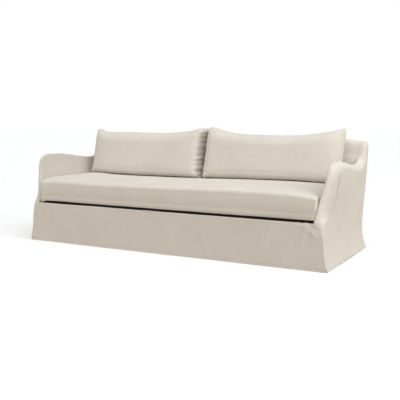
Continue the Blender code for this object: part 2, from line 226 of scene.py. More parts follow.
stations = stationList()
gussetIndex = stations.index(gussetStation)
backIndex = stations.index(backStation)
bandSteps = [index / band["rows"] for index in range(band["rows"] + 1)]
outsideSteps = gradedSteps(0.62, cover["step"])
insideSteps = gradedSteps(0.36, 0.012)
frontSteps = [2 * share - 1 for share in gradedSteps(2.28, cover["step"])]
backSteps = [2 * share - 1 for share in gradedSteps(2.36, 0.011)]


def place(x, depth, height):
    return Vector((x, depth - cover["depth"] / 2, height))


def halfWidth(depth, height):
    return mix(sideFront(height), sideRear(height), clamp(depth / cover["depth"]))


def outsideX(depth, height):  # rounded off round the rear corner
    radius = cover["cornerRadius"]
    turned = clamp(depth - rearDepth(height) + radius, 0.0, radius)
    return halfWidth(depth, height) - radius + math.sqrt(radius * radius - turned * turned)


def insideX(depth, height):
    return halfWidth(depth, height) - cover["armThick"]


def outlineNormal(station):
    low, high = max(0.0, station - 0.2), min(lastStation, station + 0.2)
    run, rise = topDepth(high) - topDepth(low), topHeight(high) - topHeight(low)
    length = math.hypot(run, rise)
    return -rise / length, run / length


def bandPoint(station, across):  # from the outer seam, round the turn, to the inner seam
    depth, height = topDepth(station), topHeight(station)
    outY, outZ = outlineNormal(station)
    overTop, overWing = ease((station - 7) / 5), ease((station - 16) / 4)
    turn = mix(mix(band["frontTurn"], band["topTurn"], overTop), band["wingTurn"], overWing)
    turn *= ease(station / 2.5)
    rearShare = clamp(station - rearStation)
    downY, downZ = mix(outY, 0.0, rearShare), mix(outZ, 1.0, rearShare)
    outer = outsideX(depth - downY * turn, height - downZ * turn)
    inner = insideX(depth, height)
    middle = mix(outer, inner, mix(band["reach"], band["wingReach"], overWing))
    if across < band["shoulder"]:
        angle = across / band["shoulder"] * math.pi / 2
        rise = mix(-turn, band["crown"], math.sin(angle) ** (2 / band["roundness"]))
        x = mix(middle, outer, max(0.0, math.cos(angle)) ** (2 / band["roundness"]))
    else:
        share = (across - band["shoulder"]) / (1 - band["shoulder"])
        rise = band["crown"] * (1 - share ** 2)
        x = mix(middle, inner, share)
    drop, lift = min(0.0, rise), max(0.0, rise)
    return place(x, depth + downY * drop + outY * lift, height + downZ * drop + outZ * lift)


def hemHeight(depth):
    return cover["hemLift"] * math.sin(math.pi * clamp(depth / cover["depth"])) ** 2


def outsidePoint(station, up):  # from the hem to the band's outer seam
    top = bandPoint(station, 0.0)
    if up == 1.0:
        return top
    foot = hemDepth(station)
    height = mix(hemHeight(foot), top.z, up)
    depth = mix(foot, top.y + cover["depth"] / 2, up)
    following = rearDepth(height) - topDepth(lastStation) + topDepth(station)
    depth = mix(depth, following, clamp(station - rearStation))
    return place(outsideX(depth, height), depth, height)


def insidePoint(station, up):  # from the deck to the band's inner seam
    top = bandPoint(station, 1.0)
    if up == 1.0:
        return top
    height = mix(cover["rail"], top.z, up)
    depth = mix(deckDepth(station), top.y + cover["depth"] / 2, up)
    return place(insideX(depth, height), depth, height)


def turnOver(point):
    return Vector((-point.x, point.y, point.z))


def insideBackEdge(row):  # up beside the wing, then over the top
    if row < len(insideSteps):
        return insidePoint(backStation, insideSteps[row])
    return bandPoint(stations[backIndex + row - len(insideSteps) + 1], 1.0)


insideBackEdges = [insideBackEdge(row)
                   for row in range(len(insideSteps) + len(stations) - 1 - backIndex)]


def insideBackPoint(column, row):
    edge = insideBackEdges[row]
    across = backSteps[column]
    point = Vector((edge.x * across, edge.y, edge.z))
    rise = (point.z - cover["rail"]) / (cover["crest"] - cover["rail"])
    point.z += cover["backCrown"] * (1 - across ** cover["crownPower"]) * rise ** 4
    return point


def joinedLine(ends, middle):  # one line across: an end turned over, the middle, the other end
    return [turnOver(point) for point in ends] + middle + list(reversed(ends))


rearEnds = [bandPoint(lastStation, across) for across in bandSteps]
frontEnds = [bandPoint(0.0, across) for across in bandSteps]
rearLine = joinedLine(rearEnds, [insideBackPoint(column, len(insideBackEdges) - 1)
                                 for column in range(1, len(backSteps) - 1)])
frontLine = joinedLine(frontEnds, [Vector((frontEnds[-1].x * across, *frontEnds[-1].yz))
                                   for across in frontSteps[1:-1]])
rearEdges = [outsidePoint(lastStation, up) for up in outsideSteps]
frontEdges = [outsidePoint(0.0, up) for up in outsideSteps]


def hangingPoint(line, edges, column, row):  # hangs from a top line, its ends on two edges
    top, edge, corner = line[column], edges[row], edges[-1]
    up = outsideSteps[row] ** 3
    depth = edge.y + (top.y - corner.y) * up
    return Vector((edge.x * top.x / corner.x, depth, edge.z + (top.z - corner.z) * up))


def deckPoint(column, row):
    if row == 0:
        return frontLine[column + len(frontEnds) - 1]
    depth, height = deckRows[row - 1]
    return place((insideX(depth, height) - 0.0006) * frontSteps[column], depth, height)


# creases listed one by one: a line, how wide it is and how far it stands out

pulls = (
    # start (x, depth, height), end (x, depth, height), half width, rise
    ((1.085, 0.000, 0.312), (1.040, 0.000, 0.130), 0.020, 0.0050),
    ((1.140, 0.000, 0.312), (1.118, 0.000, 0.150), 0.017, 0.0045),
    ((1.015, 0.000, 0.308), (1.075, 0.000, 0.296), 0.007, -0.0030),
    ((1.035, 0.000, 0.290), (1.100, 0.000, 0.276), 0.009, 0.0025),
    ((1.110, 0.000, 0.300), (1.165, 0.000, 0.255), 0.010, -0.0030),
    ((1.100, 0.000, 0.262), (1.170, 0.000, 0.205), 0.014, 0.0030),
    ((-1.120, 0.000, 0.312), (-1.145, 0.000, 0.140), 0.022, 0.0040),
    ((-1.060, 0.000, 0.300), (-1.020, 0.000, 0.150), 0.020, -0.0025),
    ((0.420, 0.000, 0.290), (0.440, 0.000, 0.000), 0.110, 0.0030),
    ((-0.560, 0.000, 0.290), (-0.600, 0.000, 0.000), 0.140, 0.0032),
    ((-0.100, 0.000, 0.270), (-0.060, 0.000, 0.000), 0.090, -0.0022),
)


def nearestShare(point, start, end):
    line = end - start
    return clamp((point - start).dot(line) / line.length_squared)


pullLines = [(place(*start), place(*end), width, rise) for start, end, width, rise in pulls]


def relief(co):  # how far the cloth stands out from its cut
    out = waves["rise"] * noise.noise(co * waves["spacing"] + Vector((3.1, 0.4, 1.7)))
    out += waves["fineShare"] * waves["rise"] * noise.noise(co * waves["fineSpacing"])
    low = clamp(1 - co.z / waves["hemReach"]) ** 2
    swing = noise.noise(Vector((co.x * waves["hemSpacing"], co.y * waves["hemSpacing"], 5.2)))
    out += waves["hemRise"] * low * swing
    for start, end, width, rise in pullLines:
        if (co - start).length < (end - start).length + 3 * width:
            share = nearestShare(co, start, end)
            away = (co - start.lerp(end, share)).length / width
            if away < 3:
                out += rise * math.exp(-away * away) * math.sin(math.pi * mix(0.30, 1.0, share))
    return out


def seamProfile(away):  # a sewn seam: drawn in at the stitches, with a soft lip beside them
    drawn = -seam["draw"] * math.exp(-(away / seam["drawReach"]) ** 2)
    return drawn + seam["lip"] * math.exp(-((away - seam["lipAway"]) / seam["lipReach"]) ** 2)


# the panels

panels = {
    # name: (node, flat width, flat length, area, how it is held, what it rests on)
    "frontPanel": ("front_panel", 2.46, 0.345, None, "hung", ("deck",)),
    "deck": ("deck", 2.30, 0.765, None, "stretched", ("front_panel", "inside_back")),
    "insideBack": ("inside_back", 2.40, 0.62, None, "stretched", ("deck", "outside_back")),
    "outsideBack": ("outside_back", 2.46, 0.82, None, "hung", ("inside_back",)),
    "insideArmLeft": ("inside_arm_left", 0.84, 0.39, 0.255, "stretched", ("deck",)),
    "insideArmRight": ("inside_arm_right", 0.84, 0.39, 0.255, "stretched", ("deck",)),
    "outsideArmLeft": ("outside_arm_left", 0.90, 0.70, 0.515, "hung", ("arm_band_left",)),
    "outsideArmRight": ("outside_arm_right", 0.90, 0.70, 0.515, "hung", ("arm_band_right",)),
    "armBandLeft": ("arm_band_left", 1.48, 0.085, None, "stretched", ("inside_arm_left",)),
    "armBandRight": ("arm_band_right", 1.48, 0.085, None, "stretched", ("inside_arm_right",)),
    "backSideLeft": ("back_side_left", 0.24, 0.82, 0.11, "hung", ("arm_band_left",)),
    "backSideRight": ("back_side_right", 0.24, 0.82, 0.11, "hung", ("arm_band_right",)),
}
panelNames = list(panels)


def addPatch(form, columns, rows, pointAt, panelName, flip=False):
    panelLayer = form.faces.layers.int["panel"]
    mapLayer = form.loops.layers.uv["clothMap"]
    number = panelNames.index(panelName)
    grid = bmesh.ops.create_grid(form, x_segments=columns, y_segments=rows, size=0.5)
    corners = grid["verts"]
    for vert in corners:
        point = pointAt(round((vert.co.x + 0.5) * columns), round((vert.co.y + 0.5) * rows))
        vert.co = turnOver(point) if flip else point
    lengthwise = panelName in ("frontPanel", "outsideBack", "insideBack")
    for face in {face for vert in corners for face in vert.link_faces}:
        face[panelLayer] = number
        for loop in face.loops:
            co = loop.vert.co
            if panelName == "deck":
                loop[mapLayer].uv = (co.x, co.y)
            elif lengthwise:
                loop[mapLayer].uv = (co.x, co.z + (0.6 * co.y if panelName == "insideBack" else 0))
            elif panelName.startswith("armBand"):
                loop[mapLayer].uv = (co.x, co.z + 0.9 * co.y)
            else:
                loop[mapLayer].uv = (co.y + 0.37, co.z + 0.11)


def coverForm():
    form = bmesh.new()
    form.faces.layers.int.new("panel")
    form.loops.layers.uv.new("clothMap")
    outerRows, innerRows = len(outsideSteps) - 1, len(insideSteps) - 1
    for flip, side in ((False, "Right"), (True, "Left")):
        addPatch(form, gussetIndex, outerRows,
                 lambda column, row: outsidePoint(stations[column], outsideSteps[row]),
                 "outsideArm" + side, flip)
        addPatch(form, len(stations) - 1 - gussetIndex, outerRows,
                 lambda column, row: outsidePoint(stations[column + gussetIndex],
                                                  outsideSteps[row]),
                 "backSide" + side, flip)
        addPatch(form, len(stations) - 1, band["rows"],
                 lambda column, row: bandPoint(stations[column], bandSteps[row]),
                 "armBand" + side, flip)
        addPatch(form, backIndex, innerRows,
                 lambda column, row: insidePoint(stations[column], insideSteps[row]),
                 "insideArm" + side, flip)
    addPatch(form, len(backSteps) - 1, len(insideBackEdges) - 1, insideBackPoint, "insideBack")
    addPatch(form, len(rearLine) - 1, outerRows,
             lambda column, row: hangingPoint(rearLine, rearEdges, column, row), "outsideBack")
    addPatch(form, len(frontLine) - 1, outerRows,
             lambda column, row: hangingPoint(frontLine, frontEdges, column, row), "frontPanel")
    addPatch(form, len(frontSteps) - 1, len(deckRows), deckPoint, "deck")
    bmesh.ops.remove_doubles(form, verts=form.verts, dist=cover["weld"])
    bmesh.ops.dissolve_degenerate(form, dist=cover["weld"], edges=form.edges)
    bmesh.ops.recalc_face_normals(form, faces=form.faces)
    rear = max(form.faces, key=lambda face: face.calc_center_median().y)
    if rear.normal.y < 0:
        bmesh.ops.reverse_faces(form, faces=form.faces)
    form.normal_update()
    return form


def pointTree(points):
    tree = kdtree.KDTree(len(points))
    for index, point in enumerate(points):
        tree.insert(point, index)
    tree.balance()
    return tree


def alongEdges(edges, parts=3):
    return [edge.verts[0].co.lerp(edge.verts[1].co, (part + 0.5) / parts)
            for edge in edges for part in range(parts)]


hiddenSeams = (("frontPanel", "armBand"), ("outsideArm", "armBand"), ("insideBack", "armBand"))
faintSeams = (("insideArm", "armBand"), ("frontPanel", "outsideArm"))


def seamKind(numbers):
    names = sorted(panelNames[number] for number in numbers)
    for kind, pairs in (("hidden", hiddenSeams), ("faint", faintSeams)):
        for pair in pairs:
            if any(names[0].startswith(one) and names[1].startswith(other)
                   for one, other in (pair, pair[::-1])):
                return kind
    return "sewn"


def soften(form, test, passes):
    chosen = [vert for vert in form.verts if test(vert) and not vert.is_boundary]
    for _ in range(passes):
        bmesh.ops.smooth_vert(form, verts=chosen, factor=0.5,
                              use_axis_x=True, use_axis_y=True, use_axis_z=True)


# the corners get rounder as they rise: lowest height, reach each way, smoothing passes
cornerTurns = ((0.075, 0.018, 4), (0.13, 0.030, 8), (0.19, 0.045, 14), (0.25, 0.060, 22))
cornerTop = 0.36
armFront = {"depth": 0.13, "low": 0.24, "high": 0.46, "inside": 0.004, "passes": 26}
wing = {"depth": 0.70, "low": 0.58, "inside": 1.110, "passes": 12}


def depthOf(co):
    return co.y + cover["depth"] / 2


def onFrontCorner(vert, lowest, reach):
    co = vert.co
    beside = abs(co.x) > outsideX(0, co.z) - reach
    return depthOf(co) < reach and lowest < co.z < cornerTop and beside


def onArmFront(vert):
    co = vert.co
    beside = abs(co.x) > insideX(0, co.z) + armFront["inside"]
    return depthOf(co) < armFront["depth"] and armFront["low"] < co.z < armFront["high"] and beside


def onWing(vert):
    co = vert.co
    return depthOf(co) > wing["depth"] and co.z > wing["low"] and abs(co.x) > wing["inside"]


def awayLayers(form):  # how far each point is from a seam and from the hem, for the linen
    return [form.verts.layers.float.new(name) for name in ("seamAway", "hemAway")]


def shapeCloth(form):  # relief and seams, moved along the cloth's own normals
    panelLayer = form.faces.layers.int["panel"]
    seamAway, hemAway = awayLayers(form)
    edges = {"sewn": [], "faint": [], "hidden": [], "hem": []}
    for edge in form.edges:
        numbers = {face[panelLayer] for face in edge.link_faces}
        if len(edge.link_faces) == 1:
            edges["hem"].append(edge)
        elif len(numbers) == 2:
            edges[seamKind(numbers)].append(edge)
    for lowest, reach, passes in cornerTurns:
        soften(form, lambda vert: onFrontCorner(vert, lowest, reach), passes)
    soften(form, onArmFront, armFront["passes"])
    soften(form, onWing, wing["passes"])
    form.normal_update()
    trees = {kind: pointTree(alongEdges(found)) for kind, found in edges.items() if found}
    hemTree = trees["hem"]
    moves = []
    for vert in form.verts:
        toSeam = min(trees["sewn"].find(vert.co)[2],
                     trees["faint"].find(vert.co)[2] + cover["faintSeam"])
        vert[seamAway] = min(farFromSeam, toSeam)
        vert[hemAway] = min(farFromHem, hemTree.find(vert.co)[2])
        moves.append(relief(vert.co) + seamProfile(toSeam))
    for vert, move in zip(form.verts, moves):
        vert.co += vert.normal * move
    form.normal_update()


def seamOffset(vert):  # moves an edge point in along its cloth, by half of the seam's gap
    sides = []
    for edge in vert.link_edges:
        if len(edge.link_faces) == 1:
            face = edge.link_faces[0]
            inward = face.normal.cross(edge.verts[1].co - edge.verts[0].co).normalized()
            if inward.dot(face.calc_center_median() - edge.verts[0].co) < 0:
                inward.negate()
            sides.append(inward)
    if len(sides) != 2:
        return Vector((0, 0, 0))
    return (sides[0] + sides[1]) * cover["seamGap"] / 2 / max(0.3, 1 + sides[0].dot(sides[1]))


def slitOffset(co, onSide):  # the two hems part at the front corners
    share = clamp(1 - co.z / cover["slitHeight"])
    if onSide:
        near = clamp(1 - depthOf(co) / 0.030)
        return Vector((0, cover["slitWidth"] * 0.4 * share * near, 0))
    near = clamp((abs(co.x) - 1.150) / 0.060)
    return Vector((-math.copysign(cover["slitWidth"] * share * near, co.x), 0, 0))


def finishPiece(name, form, material, nodeName, sharp=50):
    bmesh.ops.recalc_face_normals(form, faces=form.faces)
    if form.calc_volume(signed=True) < 0:
        bmesh.ops.reverse_faces(form, faces=form.faces)
    mesh = bpy.data.meshes.new(name)
    form.to_mesh(mesh)
    form.free()
    mesh.shade_smooth()
    mesh.set_sharp_from_angle(angle=math.radians(sharp))
    mesh.materials.append(material)
    piece = bpy.data.objects.new(name, mesh)
    bpy.context.scene.collection.objects.link(piece)
    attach(piece, "root")
    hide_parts(nodeName)
    return piece


def makePanel(form, name, material):
    sheet = form.copy()
    panelLayer = sheet.faces.layers.int["panel"]
    inward = sheet.verts.layers.float_vector["inward"]
    number = panelNames.index(name)
    others = [face for face in sheet.faces if face[panelLayer] != number]
    bmesh.ops.delete(sheet, geom=others, context="FACES")
    sheet.normal_update()
    offsets = {vert: seamOffset(vert) for vert in sheet.verts if vert.is_boundary}
    for vert, offset in offsets.items():
        vert.co += offset
    if name == "frontPanel" or name.startswith("outsideArm"):
        for vert in sheet.verts:
            if vert.co.z < cover["slitHeight"]:
                vert.co += slitOffset(vert.co, name != "frontPanel")
    made = bmesh.ops.extrude_face_region(sheet, geom=list(sheet.faces), use_keep_orig=True)
    for item in made["geom"]:
        if isinstance(item, bmesh.types.BMVert):
            item.co += Vector(item[inward])
    nodeName, width, length, area, held, restsOn = panels[name]
    piece = finishPiece(name, sheet, material, nodeName)
    return piece


# materials: sums on sockets are written as Python

class Signal:
    def __init__(self, board, socket):
        self.board = board
        self.socket = socket

    def math(self, operation, *values):
        return self.board.add("ShaderNodeMath", {"operation": operation},
                              dict(enumerate(values)))

    def __add__(self, other):
        return self.math("ADD", self, other)

    def __sub__(self, other):
        return self.math("SUBTRACT", self, other)

    def __rsub__(self, other):
        return self.math("SUBTRACT", other, self)

    def __mul__(self, other):
        return self.math("MULTIPLY", self, other)

    def __truediv__(self, other):
        return self.math("DIVIDE", self, other)

    __radd__ = __add__
    __rmul__ = __mul__


class Board:  # the nodes of one material, or of the sky
    def __init__(self, owner):
        owner.use_nodes = True
        self.owner = owner
        self.tree = owner.node_tree

    def set(self, nodeName, values):  # on the sockets of a node that is there already
        for key, value in values.items():
            self.feed(self.tree.nodes[nodeName].inputs[key], value)

    def add(self, kind, settings=None, inputs=None, output=0):
        made = self.tree.nodes.new(kind)
        for key, value in (settings or {}).items():
            setattr(made, key, value)
        for key, value in (inputs or {}).items():
            self.feed(made.inputs[key], value)
        return Signal(self, made.outputs[output])

    def feed(self, socket, value):
        if isinstance(value, Signal):
            self.tree.links.new(value.socket, socket)
        else:
            socket.default_value = value

    def noise(self, vector, scale, detail=2.0, roughness=0.5):
        return self.add("ShaderNodeTexNoise", None, {
            "Vector": vector, "Scale": scale, "Detail": detail, "Roughness": roughness})

    def stretched(self, vector, scales):
        return self.add("ShaderNodeMapping", None, {"Vector": vector, "Scale": scales})

    def blend(self, factor, low, high):
        return self.add("ShaderNodeMix", {"data_type": "RGBA"},
                        {"Factor": factor, 6: low, 7: high}, output=2)

    def between(self, value, low, high):  # 0 below low, 1 above high, soft between
        return self.add("ShaderNodeMapRange", {"interpolation_type": "SMOOTHSTEP"},
                        {"Value": value, "From Min": low, "From Max": high})

    def attribute(self, name):
        return self.add("ShaderNodeAttribute", {"attribute_name": name}, output=2)


linenLook = {
    "light": (0.655, 0.615, 0.556, 1.0),
    "dark": (0.500, 0.455, 0.392, 1.0),
    # painted shade: the dark colour laid along the seams, and also on the stitch row above the hem
    "seam": (0.310, 0.272, 0.222, 1.0),
    "slub": 0.62,
    "warpSlub": (230.0, 9.0, 1.0),  # across, along, per metre
    "weftSlub": (8.0, 210.0, 1.0),
    "warpThread": (620.0, 60.0, 1.0),
    "weftThread": (55.0, 600.0, 1.0),
    "mottle": 5.5,
    "roughness": 0.90,
    "bump": 0.35,
    "bumpDepth": 0.0012,
    "sheen": 0.28,
    "sheenRoughness": 0.55,
    "sheenTint": (1.0, 0.97, 0.92, 1.0),
    "specular": 0.18,
}


def makeLinen(name, look):
    board = Board(bpy.data.materials.new(name))
    clothMap = board.add("ShaderNodeUVMap", {"uv_map": "clothMap"})
    place3d = board.add("ShaderNodeTexCoord", output=3)
    warpSlub = board.noise(board.stretched(clothMap, look["warpSlub"]), 1.0, 3.0)
    weftSlub = board.noise(board.stretched(clothMap, look["weftSlub"]), 1.0, 3.0)
    warpThread = board.noise(board.stretched(clothMap, look["warpThread"]), 1.0, 1.0)
    weftThread = board.noise(board.stretched(clothMap, look["weftThread"]), 1.0, 1.0)
    mottle = board.noise(place3d, look["mottle"], 3.0)
    threads = warpThread * 0.5 + weftThread * 0.5
    tone = (warpSlub - 0.5) * look["slub"] + (weftSlub - 0.5) * look["slub"] * 0.85
    tone = tone + (mottle - 0.5) * 0.45 + (threads - 0.5) * 0.6 + 0.6
    cloth = board.blend(tone, look["dark"], look["light"])
    seamAway = board.attribute("seamAway")
    hemAway = board.attribute("hemAway")
    seamLine = 1 - board.between(seamAway, 0.0006, 0.0032)
    stitchRow = board.between(hemAway, 0.0175, 0.0192) * (1 - board.between(hemAway, 0.0205, 0.0222))
    # painted shade along each seam, where the seam's groove would be in shadow, plus a darker stitch
    # row about 2 cm above the hem
    seamShadeAndStitchRow = seamLine * 0.55 + stitchRow * 0.30
    cloth = board.blend(seamShadeAndStitchRow, cloth, look["seam"])
    height = threads * 0.45 + warpSlub * 0.6 + weftSlub * 0.6 - seamLine * 0.9 - stitchRow * 0.8
    bump = board.add("ShaderNodeBump", None, {
        "Strength": look["bump"], "Distance": look["bumpDepth"], "Height": height})
    board.set("Principled BSDF", {
        "Base Color": cloth,
        "Roughness": (warpSlub - 0.5) * 0.14 + look["roughness"],
        "Normal": bump,
        "Sheen Weight": look["sheen"],
        "Sheen Roughness": look["sheenRoughness"],
        "Sheen Tint": look["sheenTint"],
        "Specular IOR Level": look["specular"]})
    return board.owner


# painted shade: the deck cloth is near black so that the gap under the seat cushion's front edge
# shows black
deckShadeLook = {"light": (0.040, 0.037, 0.034, 1.0), "dark": (0.016, 0.015, 0.014, 1.0)}


def makeDeckShade(name, look):
    board = Board(bpy.data.materials.new(name))
    clothMap = board.add("ShaderNodeUVMap", {"uv_map": "clothMap"})
    weave = board.noise(board.stretched(clothMap, (300.0, 300.0, 1.0)), 1.0, 2.0)
    pile = board.noise(board.stretched(clothMap, (12.0, 12.0, 1.0)), 1.0, 2.0)
    tone = weave * 0.6 + pile * 0.4
    bump = board.add("ShaderNodeBump", None, {
        "Strength": 0.3, "Distance": 0.001, "Height": weave})
    board.set("Principled BSDF", {
        "Base Color": board.blend(tone, look["dark"], look["light"]),
        "Roughness": weave * 0.1 + 0.88,
        "Normal": bump,
        "Specular IOR Level": 0.1})
    return board.owner


linen = makeLinen("oatmealLinen", linenLook)
deckShade = makeDeckShade("deckPaintedShade", deckShadeLook)

form = coverForm()
shapeCloth(form)
inward = form.verts.layers.float_vector.new("inward")
for vert in form.verts:
    vert[inward] = -vert.normal * cover["cloth"] * min(cover["shellLimit"],
                                                       vert.calc_shell_factor())
for name in panels:
    isDeck = name == "deck"
    makePanel(form, name, deckShade if isDeck else linen)
form.free()
print("cover panels made")


# filled cushions

def swell(form, settings):  # the filling pushes the cover out, and each point's move is capped
    mesh = bpy.data.meshes.new("swelling")
    form.to_mesh(mesh)
    trial = bpy.data.objects.new("swelling", mesh)
    bpy.context.scene.collection.objects.link(trial)
    cloth = trial.modifiers.new("swell", "CLOTH")
    cloth.settings.quality = 5
    cloth.settings.mass = 0.3
    cloth.settings.tension_stiffness = settings["stiffness"]
    cloth.settings.compression_stiffness = settings["stiffness"]
    cloth.settings.shear_stiffness = settings["stiffness"] * 0.5
    cloth.settings.bending_stiffness = 0.4
    cloth.settings.use_pressure = True
    cloth.settings.uniform_pressure_force = settings["pressure"]
    cloth.settings.effector_weights.gravity = 0.0
    scene = bpy.context.scene
    for step in range(1, settings["frames"] + 1):
        scene.frame_set(step)
    graph = bpy.context.evaluated_depsgraph_get()
    swollen = trial.evaluated_get(graph).to_mesh()
    form.verts.ensure_lookup_table()
    for vert, moved in zip(form.verts, swollen.vertices):
        move = moved.co - vert.co
        if move.length > settings["cap"]:
            move = move * (settings["cap"] / move.length)
        vert.co += move
    trial.evaluated_get(graph).to_mesh_clear()
    bpy.data.objects.remove(trial)
    bpy.data.meshes.remove(mesh)
    scene.frame_set(1)


seat = {
    "rightEnd": 1.148, "leftEnd": 1.157, "front": 0.000, "rear": 0.735,
    "base": 0.339, "crown": 0.023, "leftCrown": 0.010, "bulge": 0.005,
    "rightCorner": 0.008, "leftCorner": 0.055,
    "rightFall": 14, "leftFall": 60,  # how sharply the crown drops at the ends
    "underCut": 0.008,
    "rightGap": 0.003, "leftGap": 0.001,  # kept from the arms
    "lip": 0.015, "lipDepth": 0.020,  # the front edge hangs a little below the base
    "leftSink": 0.015,  # and more so at its left end
    "waviness": 0.0016,
    "columns": 120, "rows": 40, "levels": 8,
    "swell": {"stiffness": 25.0, "pressure": 4.0, "frames": 14, "cap": 0.008},
}

# height of the seam round the top of the seat cushion
seatSeamRows = (
    (-1.157, 0.462), (-1.080, 0.468), (-0.870, 0.471), (-0.600, 0.468), (-0.300, 0.469),
    (0.000, 0.472), (0.400, 0.479), (0.700, 0.481), (0.970, 0.477), (1.148, 0.462),
)
seatSeam = curveThrough(seatSeamRows, 1)


def seatEnd(x):
    return seat["rightEnd"] if x > 0 else seat["leftEnd"]


def seatTop(x, depth):
    across = clamp(abs(x) / seatEnd(x))
    middle = (seat["front"] + seat["rear"]) / 2
    along = clamp(abs(depth - middle) / (seat["rear"] - middle))
    fall = seat["rightFall"] if x > 0 else seat["leftFall"]
    crown = seat["crown"] + seat["leftCrown"] * ease((-x - 0.80) / 0.25)
    return seatSeam(x) + crown * math.sqrt((1 - across ** fall) * (1 - along ** 4))


def seatPoint(a, b, level):
    low = (1 - level) / 2
    halfLength = seatEnd(a) - seat["underCut"] * (1.0 if a > 0 else 0.2) * low ** 5
    halfDepth = (seat["rear"] - seat["front"]) / 2
    x, y = a * halfLength, b * halfDepth
    corner = seat["rightCorner"] if a > 0 else seat["leftCorner"]
    pastX = max(0.0, abs(x) - halfLength + corner)
    pastY = max(0.0, abs(y) - halfDepth + corner)
    if pastX > 0 and pastY > 0:
        shrink = 1 - max(pastX, pastY) / math.hypot(pastX, pastY)
        x -= math.copysign(pastX * shrink, x)
        y -= math.copysign(pastY * shrink, y)
    bulge = seat["bulge"] * (1 - level * level)
    x += bulge * a ** 3
    y += bulge * b ** 3
    depth = y + (seat["front"] + seat["rear"]) / 2
    height = mix(seat["base"], seatSeam(x), (level + 1) / 2)
    if level == 1 and max(abs(a), abs(b)) < 1:
        height = seatTop(x, depth)
    if level == -1 and b < -0.9999:
        height -= seat["lip"] + seat["leftSink"] * ease((-x - 1.06) / 0.07)
    return place(x, depth, height)


def mapFaces(form):  # the cloth's own map, from the way each face looks
    mapLayer = form.loops.layers.uv.new("clothMap")
    for face in form.faces:
        normal = face.normal
        for loop in face.loops:
            co = loop.vert.co
            if abs(normal.z) > 0.6:
                loop[mapLayer].uv = (co.x, co.y)
            elif abs(normal.x) > 0.75:
                loop[mapLayer].uv = (co.y, co.z)
            else:
                loop[mapLayer].uv = (co.x, co.z)


def makeSeatCushion(material):
    form = bmesh.new()
    bmesh.ops.create_grid(form, x_segments=seat["columns"], y_segments=seat["rows"], size=1.0)
    for vert in form.verts:
        vert.co.x = math.copysign(abs(vert.co.x) ** 0.88, vert.co.x)
        vert.co.y = math.copysign(abs(vert.co.y) ** 0.85, vert.co.y)
        vert.co.z = 1.0
    layer = list(form.faces)
    for index in range(seat["levels"]):
        level = 1 - 2 * (index + 1) / seat["levels"]
        lower = bmesh.ops.extrude_face_region(form, geom=layer, use_keep_orig=True)
        if index > 0:
            bmesh.ops.delete(form, geom=layer, context="FACES_ONLY")
        layer = [item for item in lower["geom"] if isinstance(item, bmesh.types.BMFace)]
        for vert in {vert for face in layer for vert in face.verts}:
            vert.co.z = level
    seamLines = [edge for edge in form.edges
                 if all(vert.co.z == 1.0 and max(abs(vert.co.x), abs(vert.co.y)) > 0.9999
                        for vert in edge.verts)]
    for vert in form.verts:
        vert.co = seatPoint(vert.co.x, vert.co.y, vert.co.z)
    bmesh.ops.recalc_face_normals(form, faces=form.faces)
    swell(form, seat["swell"])
    form.normal_update()
    seamTree = pointTree(alongEdges(seamLines))
    mapFaces(form)
    bmesh.ops.subdivide_edges(form, edges=form.edges, cuts=1, smooth=0.6, use_grid_fill=True)
    seamAway, hemAway = awayLayers(form)
    form.normal_update()
    for vert in form.verts:
        away = seamTree.find(vert.co)[2]
        vert[seamAway] = min(farFromSeam, away)
        vert[hemAway] = farFromHem
        vert.co += vert.normal * (seamProfile(away) + seat["waviness"] * noise.noise(vert.co * 4.0))
        depth = depthOf(vert.co)
        if depth > seat["lipDepth"]:
            vert.co.z = max(seat["base"] - 0.001, vert.co.z)
        limit = insideX(depth, vert.co.z)
        vert.co.x = clamp(vert.co.x, seat["leftGap"] - limit, limit - seat["rightGap"])
    piece = finishPiece("seatCushion", form, material, "seat_cushion")
    return piece


backCushion = {
    "footDepth": 0.668, "footHeight": 0.508, "lean": 0.262,
    "halfThick": 0.089, "sideDraw": 0.006, "restGap": 0.004, "clearance": 0.0025,
    "topTurn": 0.105, "footTurn": 0.045, "edgeFill": 0.88,
    "lip": 0.007, "lipTurn": 0.012,  # the seam keeps the edges and the corners this thick
    "columns": 80, "rows": 34,
    "waviness": 0.0030,
    "gatherDeep": 0.0075,
    "gatherReach": 0.042,
    "gatherSpacing": 0.043,
    "crumple": 0.018,
    "crumpleReach": 0.042,
    "swell": {"stiffness": 20.0, "pressure": 4.0, "frames": 14, "cap": 0.006},
}

# each back cushion: its sides and how far each one's turn reaches, how far forward its low
# side's seam lies, its top edge, how far the ends of its foot and top lean over, its gathers
# and the corner that is crumpled
backCushions = (
    {
        "name": "backCushionLeft", "node": "back_cushion_left",
        "low": -1.122, "high": -0.030, "lowTurn": 0.21, "highTurn": 0.040,
        "lowForward": 0.0,
        "top": ((-1.122, 0.868), (-1.100, 0.880), (-1.061, 0.876), (-1.010, 0.864),
                (-0.900, 0.858), (-0.752, 0.856), (-0.430, 0.854), (-0.163, 0.872),
                (-0.080, 0.889), (-0.050, 0.893), (-0.030, 0.886)),
        "lowFoot": -0.018, "highFoot": 0.014, "lowTop": 0.0, "highTop": 0.034,
        "gatherLow": 0.25, "gatherHigh": 1.0,
        "crumpleAt": (-0.018, 0.530),
    },
    {
        "name": "backCushionRight", "node": "back_cushion_right",
        "low": 0.002, "high": 1.113, "lowTurn": 0.065, "highTurn": 0.26,
        "lowForward": 0.050,
        "top": ((0.002, 0.884), (0.020, 0.895), (0.050, 0.894), (0.085, 0.886),
                (0.153, 0.870), (0.326, 0.850), (0.543, 0.843), (0.735, 0.847),
                (0.889, 0.859), (1.024, 0.879), (1.070, 0.892), (1.098, 0.900),
                (1.113, 0.890)),
        "lowFoot": 0.012, "highFoot": 0.0, "lowTop": 0.012, "highTop": 0.0,
        "gatherLow": 0.5, "gatherHigh": 0.2,
        "crumpleAt": (0.014, 0.530),
    },
)


def roundTurn(away, reach):  # 0 at the edge, rising round a quarter circle to 1
    share = 1 - clamp(away / reach)
    return math.sqrt(1 - share * share)


